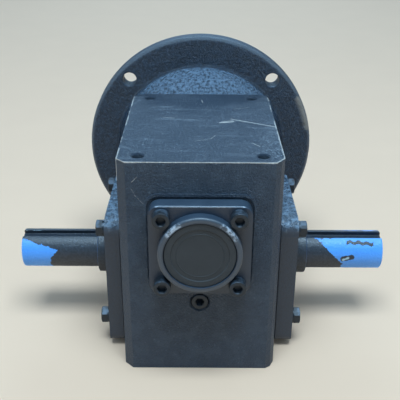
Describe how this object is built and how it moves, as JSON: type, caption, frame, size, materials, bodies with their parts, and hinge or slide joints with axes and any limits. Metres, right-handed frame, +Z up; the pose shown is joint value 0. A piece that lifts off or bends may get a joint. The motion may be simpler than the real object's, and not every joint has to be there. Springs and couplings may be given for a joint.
{
  "type": "worm gearbox",
  "caption": "Right-angle worm gear reducer with a boxy cast housing, double-ended keyed output shaft and round motor flange with hollow input.",
  "frame": {"origin": "on the base plane, under the output shaft's axis, at the middle of the housing's width", "axes": "+X along the output shaft, to the right seen from the front cap; +Y along the worm, from the front cap to the motor flange; +Z up"},
  "size_m": [0.2395, 0.1808, 0.1743],
  "materials": {
    "black_paint": "semi-gloss black enamel over a sand casting",
    "black_fastener": "black oxide under overspray, satin",
    "painted_shaft": "blue protective coating with black overspray",
    "closure_rubber": "smooth moulded rubber over steel",
    "bearing_steel": "ground",
    "worm_steel": "ground and hardened",
    "wheel_bronze": "machined bronze",
    "hub_iron": "machined cast iron",
    "seal_rubber": "matt",
    "gasket": "pressed fibre sheet"
  },
  "bodies": {
    "root": {"housing": "black_paint", "input_flange": "black_paint", "flange_gasket": "gasket", "front_bearing_cap": "black_paint", "cap_gasket": "gasket", "cap_closure": "closure_rubber", "oil_level_plug": "black_fastener", "cap_screw_upper_left": "black_fastener", "flange_screw_upper_left": "black_fastener", "cap_screw_upper_right": "black_fastener", "flange_screw_upper_right": "black_fastener", "cap_screw_lower_right": "black_fastener", "flange_screw_lower_right": "black_fastener", "cap_screw_lower_left": "black_fastener", "flange_screw_lower_left": "black_fastener", "left_cover": "black_paint", "left_cover_gasket": "gasket", "left_output_seal": "seal_rubber", "left_bearing_cup": "bearing_steel", "left_cover_bolt_1": "black_fastener", "left_lock_washer_1": "black_fastener", "left_cover_bolt_2": "black_fastener", "left_lock_washer_2": "black_fastener", "left_cover_bolt_3": "black_fastener", "left_lock_washer_3": "black_fastener", "left_cover_bolt_4": "black_fastener", "left_lock_washer_4": "black_fastener", "right_cover": "black_paint", "right_cover_gasket": "gasket", "right_output_seal": "seal_rubber", "right_bearing_cup": "bearing_steel", "right_cover_bolt_1": "black_fastener", "right_lock_washer_1": "black_fastener", "right_cover_bolt_2": "black_fastener", "right_lock_washer_2": "black_fastener", "right_cover_bolt_3": "black_fastener", "right_lock_washer_3": "black_fastener", "right_cover_bolt_4": "black_fastener", "right_lock_washer_4": "black_fastener", "front_bearing_outer_ring": "bearing_steel", "rear_bearing_outer_ring": "bearing_steel", "input_seal": "seal_rubber"},
    "worm": {"worm_shaft": "worm_steel", "retaining_ring": "black_fastener", "front_bearing_inner_ring": "bearing_steel", "rear_bearing_inner_ring": "bearing_steel"},
    "output": {"output_shaft": "painted_shaft", "worm_wheel": "wheel_bronze", "wheel_hub": "hub_iron", "wheel_key": "bearing_steel", "left_spacer": "bearing_steel", "right_spacer": "bearing_steel", "left_bearing_cone": "bearing_steel", "right_bearing_cone": "bearing_steel"},
    "front_balls": {"front_bearing_balls": "bearing_steel"},
    "rear_balls": {"rear_bearing_balls": "bearing_steel"},
    "left_rollers": {"left_bearing_rollers": "bearing_steel"},
    "right_rollers": {"right_bearing_rollers": "bearing_steel"}
  },
  "joints": [
    {"name": "worm_spin", "type": "hinge", "parent": "root", "child": "worm", "pos_m": [0, 0, 0.0902], "axis": [0, 1, 0], "continuous": true},
    {"name": "output_spin", "type": "hinge", "parent": "root", "child": "output", "pos_m": [0, 0, 0.0511], "axis": [1, 0, 0], "continuous": true},
    {"name": "front_ball_orbit", "type": "hinge", "parent": "root", "child": "front_balls", "pos_m": [0, -0.0682, 0.0902], "axis": [0, 1, 0], "continuous": true},
    {"name": "rear_ball_orbit", "type": "hinge", "parent": "root", "child": "rear_balls", "pos_m": [0, 0.0515, 0.0902], "axis": [0, 1, 0], "continuous": true},
    {"name": "left_roller_orbit", "type": "hinge", "parent": "root", "child": "left_rollers", "pos_m": [-0.038, 0, 0.0511], "axis": [1, 0, 0], "continuous": true},
    {"name": "right_roller_orbit", "type": "hinge", "parent": "root", "child": "right_rollers", "pos_m": [0.038, 0, 0.0511], "axis": [1, 0, 0], "continuous": true}
  ],
  "couplings": [
    {"joint": "output_spin", "follows": "worm_spin", "ratio": 0.033333},
    {"joint": "front_ball_orbit", "follows": "worm_spin", "ratio": 0.3816},
    {"joint": "rear_ball_orbit", "follows": "worm_spin", "ratio": 0.3969},
    {"joint": "left_roller_orbit", "follows": "worm_spin", "ratio": 0.014474},
    {"joint": "right_roller_orbit", "follows": "worm_spin", "ratio": 0.014474}
  ]
}
